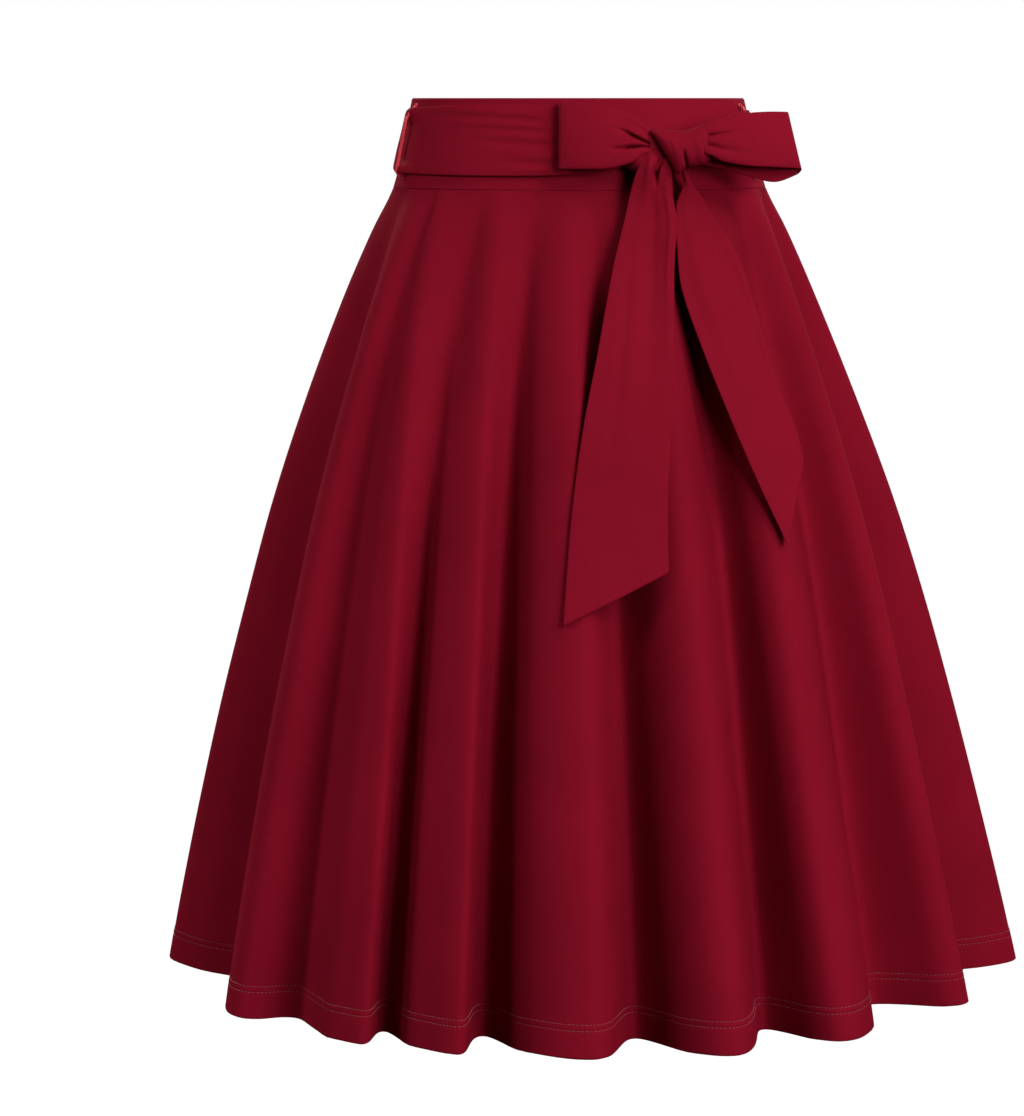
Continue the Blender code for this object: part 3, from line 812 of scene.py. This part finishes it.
def waistband_rows(first, last, count):
    start = fold_at(first, 0.0)[0]
    end = fold_at(last, 0.0)[0]
    angles = seam_places(start, end, count)
    low = WAIST_SEAM + SEAM_GAP
    heights = [low + step for step in (0.0, 0.0008, 0.002, 0.004, 0.007)]
    heights += spread(low + 0.012, WAISTBAND_TOP - 0.007, 8)
    heights += [WAISTBAND_TOP - step for step in (0.0045, 0.0030, 0.0022, 0.0014, 0.0007, 0.0)]
    heights.reverse()
    rows = []
    for height in heights:
        from_top = WAISTBAND_TOP - height
        rounding = -0.0010 * math.exp(-((from_top / 0.0007) ** 2))
        edge_dent = -0.0003 * bump_of(from_top - 0.0034, 0.0006)
        ends = (ring_point(start, height), ring_point(end, height))
        row = []
        for angle in angles:
            point = ring_point(angle, height)
            beside = min((point - corner).length for corner in ends)
            ripple = 0.0005 * noise.noise(Vector((angle * 0.06, height * 18.0, 3.0)))
            out = roll_in(beside) + roll_in(height - low) + rounding + edge_dent + ripple
            row.append(ring_point(angle, height, out))
        rows.append(row)
    return rows


def add_waistband(name, node, first, last, count):
    rows = waistband_rows(first, last, count)
    band = add_cloth(name, rows, WAISTBAND_CLOTH, -1.0, SKIRT_CLOTH)
    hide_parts(node)
    return band


def sash_point(angle, down):
    """A point of the sash's outer surface, at 0 (top edge) to 1 (bottom edge)."""
    edge = read_table(SASH_EDGES, angle)
    height = edge.top + (edge.bottom - edge.top) * down
    fall = (WAISTBAND_TOP - height) / (WAISTBAND_TOP - WAIST_SEAM)
    out = SASH_STAND_OFF_TOP + (SASH_STAND_OFF_BOTTOM - SASH_STAND_OFF_TOP) * fall
    for wrinkle in SASH_WRINKLES:
        start, end = wrinkle.start, wrinkle.end
        if start <= angle <= end:
            f = (angle - start) / (end - start)
            centre = wrinkle.start_down + (wrinkle.end_down - wrinkle.start_down) * f
            grown = fade(f, 0.0, 0.7) * fade(f, 1.0, 0.96)
            out += wrinkle.depth * grown * (
                0.7 * bump_of(down - centre - 1.9 * wrinkle.half_width, wrinkle.half_width)
                + 0.7 * bump_of(down - centre + 1.9 * wrinkle.half_width, wrinkle.half_width)
                - 0.6 * bump_of(down - centre, wrinkle.half_width))
    for loop_angle in (BELT_LOOP_ANGLE, 360.0 - BELT_LOOP_ANGLE):
        flare = SASH_FLARE * bump_of(angle - loop_angle, 7.0)
        out += flare * (fade(down, 0.30, 0.06) + fade(down, 0.80, 0.96))
    out += 0.0007 * noise.noise(Vector((angle * 0.035, down * 1.6, 7.0)))
    out -= 0.0009 * (math.exp(-down / 0.03) + math.exp(-(1.0 - down) / 0.03))
    return ring_point(angle, height, out)


def add_sash_band():
    angles = spread(SASH_EDGES[0].angle, SASH_EDGES[-1].angle, 330)
    downs = [0.0, 0.012, 0.03] + spread(0.055, 0.945, 30) + [0.97, 0.988, 1.0]
    rows = [[sash_point(angle, down) for angle in angles] for down in downs]
    band = add_cloth("sash_band_cloth", rows, SASH_CLOTH, -1.0, SASH_FABRIC)
    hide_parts("sash_band")
    return band


def crease_depth(creases, along, across):
    """How far the creases draw the cloth in at a place along and across it."""
    inward = 0.0
    for points in creases:
        if points[0].along < along < points[-1].along:
            point = read_table(points, along)
            inward += point.depth * bump_of(across - point.across, point.half_width)
    return inward


def loop_point(stations, creases, fold_at_along, along, down):
    """A point of a bow loop, gathered into creases where it enters the knot."""
    station = read_table(stations, along)
    height = station.top + (station.bottom - station.top) * down
    front = fade(along, fold_at_along + 0.006, fold_at_along - 0.012)
    puff = 0.0022 * math.sin(math.pi * down) * fade(along, -0.004, 0.02)
    edge = 0.0010 * (math.exp(-down / 0.03) + math.exp(-(1.0 - down) / 0.03))
    ripple = 0.0006 * noise.noise(Vector((along * 45.0, down * 2.2, stations[2].x * 90.0)))
    inward = crease_depth(creases, along, down) - puff + edge + ripple
    depth = station.y + BOW_LEAN * height + inward * front
    x = station.x + station.slant * (down - 0.5)
    return Vector((x, depth, height))


def add_bow_loop(name, node, stations, creases, fold_at_along):
    first, last = stations[0].along, stations[-1].along
    rows = [
        [loop_point(stations, creases, fold_at_along, along, down) for along in spread(first, last, 150)]
        for down in [0.0, 0.01, 0.025] + spread(0.045, 0.955, 54) + [0.975, 0.99, 1.0]
    ]
    loop = add_cloth(name, rows, SASH_CLOTH, 0.0, SASH_FABRIC)
    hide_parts(node)
    return loop


def tail_point(stations, creases, along, across):
    """A point of a tail, with long soft creases."""
    station = read_table(stations, along)
    x = station.left_x + (station.right_x - station.left_x) * across
    drop = station.left_drop + (station.right_drop - station.left_drop) * across
    out = station.lift - crease_depth(creases, along, across)
    at_top = fade(along, 0.05, -0.01)
    out += at_top * 0.003 * math.sin(math.pi * across)
    out += 0.0008 * noise.noise(Vector((across * 2.4, along * 26.0, stations[0].left_x * 200.0)))
    out -= 0.0006 * (math.exp(-across / 0.02) + math.exp(-(1.0 - across) / 0.02))
    return front_point(x, -drop, max(out, 0.0022))


def add_tail(name, node, stations, creases):
    first, last = stations[0].along, stations[-1].along
    acrosses = [0.0, 0.008, 0.02] + spread(0.04, 0.96, 54) + [0.98, 0.992, 1.0]
    alongs = spread(first, 0.06, 60) + spread(0.06, last, 100)[1:]
    rows = [[tail_point(stations, creases, along, across) for across in acrosses] for along in alongs]
    tail = add_cloth(name, rows, SASH_CLOTH, -1.0, SASH_FABRIC)
    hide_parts(node)
    return tail


def knot_wrap_point(x, turn):
    """A point of the knot's outer wrap, at an angle of -105 (behind its top) to 105 (under it)."""
    column = read_table(KNOT_WRAP, x)
    middle = (column.top + column.bottom) / 2.0
    half = (column.top - column.bottom) / 2.0
    angle = math.radians(turn)
    down = 0.5 + math.sin(angle) / 2.0 if abs(turn) < 90.0 else float(turn > 0.0)
    bulge = column.front * (math.cos(angle) if abs(turn) < 90.0 else (90.0 - abs(turn)) / 12.0)
    for crease in KNOT_CREASES:
        f = (down - crease.above) / (crease.below - crease.above)
        centre = crease.x_above + (crease.x_below - crease.x_above) * f
        reach = fade(f, -0.1, 0.5)
        bulge -= crease.depth * reach * fade(f, 1.6, 1.1) * bump_of(x - centre, crease.half_width)
    bulge += 0.0004 * noise.noise(Vector((x * 160.0, down * 3.0, 2.0)))
    return Vector((x, KNOT_BACK - bulge, middle - half * math.sin(angle)))


def arched_rows(stations, columns, steps):
    """A band that arches across its own width and runs along its stations."""
    rows = []
    alongs = spread(stations[0].along, stations[-1].along, steps)
    for along in alongs:
        station = read_table(stations, along)
        before = read_table(stations, max(along - 0.001, alongs[0]))
        after = read_table(stations, min(along + 0.001, alongs[-1]))
        run = (Vector(after[1:4]) - Vector(before[1:4])).normalized()
        centre = Vector(station[1:4])
        out = centre - Vector((centre.x + 0.012, -0.098, -0.008))
        out = (out - run * out.dot(run)).normalized()
        side = run.cross(out).normalized()
        row = []
        for turn in spread(-110.0, 110.0, columns):
            angle = math.radians(turn)
            row.append(centre + side * station.half_width * math.sin(angle)
                       - out * station.arch * (1.0 - math.cos(angle)))
        rows.append(row)
    return rows


def add_knot():
    xs = spread(KNOT_WRAP[0].x, KNOT_WRAP[-1].x, 110)
    rows = [[knot_wrap_point(x, turn) for x in xs] for turn in spread(-105.0, 105.0, 70)]
    wrap = add_cloth("knot_wrap", rows, SASH_CLOTH, 0.0, SASH_FABRIC)
    end = add_cloth(
        "sash_end", arched_rows(SASH_END, 30, 44), SASH_CLOTH, 0.0, SASH_FABRIC)
    for piece in (wrap, end):
        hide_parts("sash_knot")
    return wrap, end


def wire_mesh(name, strands, radius, roundness):
    """A mesh of round wires, each along its own line of points."""
    curve = bpy.data.curves.new(name, "CURVE")
    curve.dimensions = "3D"
    curve.bevel_depth = radius
    curve.bevel_resolution = roundness
    curve.use_fill_caps = True
    for points in strands:
        spline = curve.splines.new("POLY")
        spline.points.add(len(points) - 1)
        for place, point in zip(spline.points, points):
            place.co = (*point, 1.0)
    wire = bpy.data.objects.new(name, curve)
    bpy.context.scene.collection.objects.link(wire)
    mesh = bpy.data.meshes.new_from_object(wire.evaluated_get(bpy.context.evaluated_depsgraph_get()))
    bpy.data.objects.remove(wire)
    mesh.name = name
    mesh.materials.clear()
    return mesh


def add_carrier(name, node, side):
    """A chained thread that holds the sash at a side seam."""
    path = [
        (BELT_LOOP_TOP, 0.0006),
        (BELT_LOOP_TOP - 0.0020, BELT_LOOP_OUT - 0.0052),
        (BELT_LOOP_TOP - 0.0085, BELT_LOOP_OUT - 0.0016),
        (BELT_LOOP_TOP - 0.0115, BELT_LOOP_OUT),
        (BELT_LOOP_BOTTOM + 0.0055, BELT_LOOP_OUT),
        (BELT_LOOP_BOTTOM + 0.0030, BELT_LOOP_OUT - 0.0016),
        (BELT_LOOP_BOTTOM + 0.0008, BELT_LOOP_OUT - 0.0046),
        (BELT_LOOP_BOTTOM, 0.0006),
    ]
    at_seam = side * BELT_LOOP_ANGLE
    points = [ring_point(at_seam, height, out) for height, out in path]
    lengths = running_lengths(points)
    outward = (ring_point(at_seam, 0.0, 1.0) - ring_point(at_seam, 0.0)).normalized()
    first = Vector((-outward.y, outward.x, 0.0))
    count = round(lengths[-1] / CHAIN_PITCH * 8)
    strands = []
    for strand in range(3):
        chain = []
        for step in range(count + 1):
            distance = lengths[-1] * step / count
            index = max(i for i in range(len(path) - 1) if lengths[i] <= distance + 1e-9)
            f = (distance - lengths[index]) / (lengths[index + 1] - lengths[index])
            centre = points[index].lerp(points[index + 1], f)
            run = (points[index + 1] - points[index]).normalized()
            second = run.cross(first).normalized()
            turn = 2.0 * math.pi * (distance / (3.0 * CHAIN_PITCH) + strand / 3.0)
            swing = first * math.cos(turn) * 1.5 + second * math.sin(turn)
            chain.append(centre + swing * CHAIN_SWING)
        strands.append(chain)
    mesh = wire_mesh(name, strands, CHAIN_RADIUS, 3)
    carrier = add_object(name, mesh, CARRIER_THREAD)
    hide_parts(node)
    return carrier


def zip_place(offset, height):
    """A point on the inside of the centre-back seam; offset is -1 to 1 across the tape."""
    slope = (ZIP_HALF_WIDTH_AT_END - ZIP_HALF_WIDTH_AT_TOP) / (WAIST_SEAM - ZIP_BOTTOM)
    half = ZIP_HALF_WIDTH_AT_TOP + slope * max(WAIST_SEAM - height, 0.0)
    place = CENTRE_BACK_SEAM + offset * half
    if height > WAIST_SEAM:
        return ring_point(fold_at(place, 0.0)[0], height, -ZIP_INSIDE)
    fall = (WAIST_SEAM - height) / SKIRT_FALL
    return skirt_point(place, fall) - skirt_square(place, max(fall, 0.02)) * ZIP_INSIDE


def add_zip():
    heights = spread(WAISTBAND_TOP - 0.004, WAIST_SEAM + 0.004, 10)
    heights += spread(WAIST_SEAM - 0.010, ZIP_BOTTOM, 40)
    rows = [[zip_place(offset, height) for offset in spread(-1.0, 1.0, 16)] for height in heights]
    tape = add_cloth("zip_tape", rows, ZIP_TAPE_CLOTH, -1.0, ZIP_TAPE)
    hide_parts("back_zip")
    line = [zip_place(0.0, height) for height in spread(heights[0], heights[-1], 220)]
    lengths = running_lengths(line)
    count = round(lengths[-1] / COIL_PITCH * 8)
    inside = Vector((0.0, -1.0, 0.0))
    beside = Vector((1.0, 0.0, 0.0))
    coil = []
    index = 0
    for step in range(count + 1):
        distance = lengths[-1] * step / count
        while index < len(lengths) - 2 and lengths[index + 1] < distance:
            index += 1
        f = (distance - lengths[index]) / (lengths[index + 1] - lengths[index])
        centre = line[index].lerp(line[index + 1], f)
        turn = 2.0 * math.pi * distance / COIL_PITCH
        centre += inside * (0.0006 + COIL_RADIUS * (0.6 + 0.6 * math.sin(turn)))
        centre += beside * COIL_RADIUS * 1.6 * math.cos(turn)
        coil.append(centre)
    mesh = wire_mesh("zip_coil", [coil], COIL_WIRE, 1)
    return tape, add_object("zip_coil", mesh, COIL_NYLON)


def add_studio_light(light):
    azimuth, elevation = math.radians(light.azimuth), math.radians(light.elevation)
    away = Vector((
        math.sin(azimuth) * math.cos(elevation),
        -math.cos(azimuth) * math.cos(elevation),
        math.sin(elevation),
    ))
    data = bpy.data.lights.new(light.name, "AREA")
    data.shape = "SQUARE"
    data.size = light.size
    data.energy = light.power
    lamp = bpy.data.objects.new(light.name, data)
    lamp.location = LIT_CENTRE + away * LIGHT_DISTANCE
    lamp.rotation_euler = away.to_track_quat("Z", "Y").to_euler()
    bpy.context.scene.collection.objects.link(lamp)


def set_stage():
    """A plain pale floor, a white surround and soft studio lights."""
    form = bmesh.new()
    bmesh.ops.create_circle(form, cap_ends=True, segments=96, radius=FLOOR_RADIUS)
    mesh = bpy.data.meshes.new("floor")
    form.to_mesh(mesh)
    form.free()
    floor = bpy.data.objects.new("floor", mesh)
    floor.location = (0.0, 0.0, FLOOR_HEIGHT)
    bpy.context.scene.collection.objects.link(floor)
    material = bpy.data.materials.new("pale_floor")
    material.use_nodes = True
    shader = material.node_tree.nodes["Principled BSDF"]
    shader.inputs["Base Color"].default_value = (0.85, 0.85, 0.85, 1.0)
    shader.inputs["Roughness"].default_value = 0.9
    shader.inputs["Emission Color"].default_value = (1.0, 1.0, 1.0, 1.0)
    shader.inputs["Emission Strength"].default_value = 1.0
    mesh.materials.append(material)
    floor.visible_diffuse = False
    floor.visible_glossy = False
    floor.visible_shadow = False

    world = bpy.data.worlds.new("studio")
    world.use_nodes = True
    nodes = world.node_tree.nodes
    links = world.node_tree.links
    surround = nodes["Background"]
    surround.inputs["Strength"].default_value = 0.03
    seen = nodes.new("ShaderNodeBackground")
    seen.inputs["Color"].default_value = (1.0, 1.0, 1.0, 1.0)
    seen.inputs["Strength"].default_value = 1.0
    surround.inputs["Color"].default_value = (1.0, 1.0, 1.0, 1.0)
    path = nodes.new("ShaderNodeLightPath")
    choice = nodes.new("ShaderNodeMixShader")
    links.new(path.outputs["Is Camera Ray"], choice.inputs["Fac"])
    links.new(surround.outputs[0], choice.inputs[1])
    links.new(seen.outputs[0], choice.inputs[2])
    links.new(choice.outputs[0], nodes["World Output"].inputs["Surface"])
    bpy.context.scene.world = world

    for light in STUDIO_LIGHTS:
        add_studio_light(light)


def set_camera():
    data = bpy.data.cameras.new("camera")
    data.sensor_width = SENSOR
    data.lens = LENS
    camera = bpy.data.objects.new("camera", data)
    yaw, pitch = math.radians(CAMERA_YAW), math.radians(CAMERA_PITCH)
    ahead = Vector((
        -math.sin(yaw) * math.cos(pitch),
        math.cos(yaw) * math.cos(pitch),
        -math.sin(pitch),
    ))
    camera.location = CAMERA_PLACE
    camera.rotation_euler = ahead.to_track_quat("-Z", "Y").to_euler()
    bpy.context.scene.collection.objects.link(camera)
    bpy.context.scene.camera = camera


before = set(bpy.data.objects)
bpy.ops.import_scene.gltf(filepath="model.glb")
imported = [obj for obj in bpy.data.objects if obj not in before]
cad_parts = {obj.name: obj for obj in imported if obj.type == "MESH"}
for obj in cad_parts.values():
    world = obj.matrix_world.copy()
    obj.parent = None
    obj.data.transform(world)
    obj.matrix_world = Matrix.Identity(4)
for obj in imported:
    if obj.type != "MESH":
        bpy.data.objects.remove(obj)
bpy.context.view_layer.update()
set_camera()

front = add_skirt_panel("skirt_front", "front_panel", LEFT_SIDE_SEAM, RIGHT_SIDE_SEAM)
back_right = add_skirt_panel("skirt_back_right", "back_right_panel", RIGHT_SIDE_SEAM, CENTRE_BACK_SEAM)
back_left = add_skirt_panel("skirt_back_left", "back_left_panel", CENTRE_BACK_SEAM, LEFT_SIDE_SEAM + ROUND)
hem_front = add_hem_stitches("hem_stitches_front", LEFT_SIDE_SEAM, RIGHT_SIDE_SEAM)
hem_right = add_hem_stitches("hem_stitches_back_right", RIGHT_SIDE_SEAM, CENTRE_BACK_SEAM)
hem_left = add_hem_stitches("hem_stitches_back_left", CENTRE_BACK_SEAM, LEFT_SIDE_SEAM + ROUND)
band_front = add_waistband("waistband_front_cloth", "waistband_front", LEFT_SIDE_SEAM, RIGHT_SIDE_SEAM, 150)
band_right = add_waistband(
    "waistband_back_right_cloth", "waistband_back_right", RIGHT_SIDE_SEAM, CENTRE_BACK_SEAM, 70)
band_left = add_waistband(
    "waistband_back_left_cloth", "waistband_back_left", CENTRE_BACK_SEAM, LEFT_SIDE_SEAM + ROUND, 80)
sash = add_sash_band()
loop_left = add_bow_loop("bow_loop_left_cloth", "bow_loop_left", LEFT_LOOP, LEFT_LOOP_CREASES, LEFT_FOLD_AT)
loop_right = add_bow_loop(
    "bow_loop_right_cloth", "bow_loop_right", RIGHT_LOOP, RIGHT_LOOP_CREASES, RIGHT_FOLD_AT)
tail_left = add_tail("tail_left_cloth", "sash_tail_left", LEFT_TAIL, LEFT_TAIL_CREASES)
tail_right = add_tail("tail_right_cloth", "sash_tail_right", RIGHT_TAIL, RIGHT_TAIL_CREASES)
knot_wrap, sash_end = add_knot()
add_carrier("carrier_left", "belt_loop_left", -1.0)
add_carrier("carrier_right", "belt_loop_right", 1.0)
zip_tape, zip_coil = add_zip()
set_stage()

bpy.context.scene.view_settings.view_transform = "Standard"
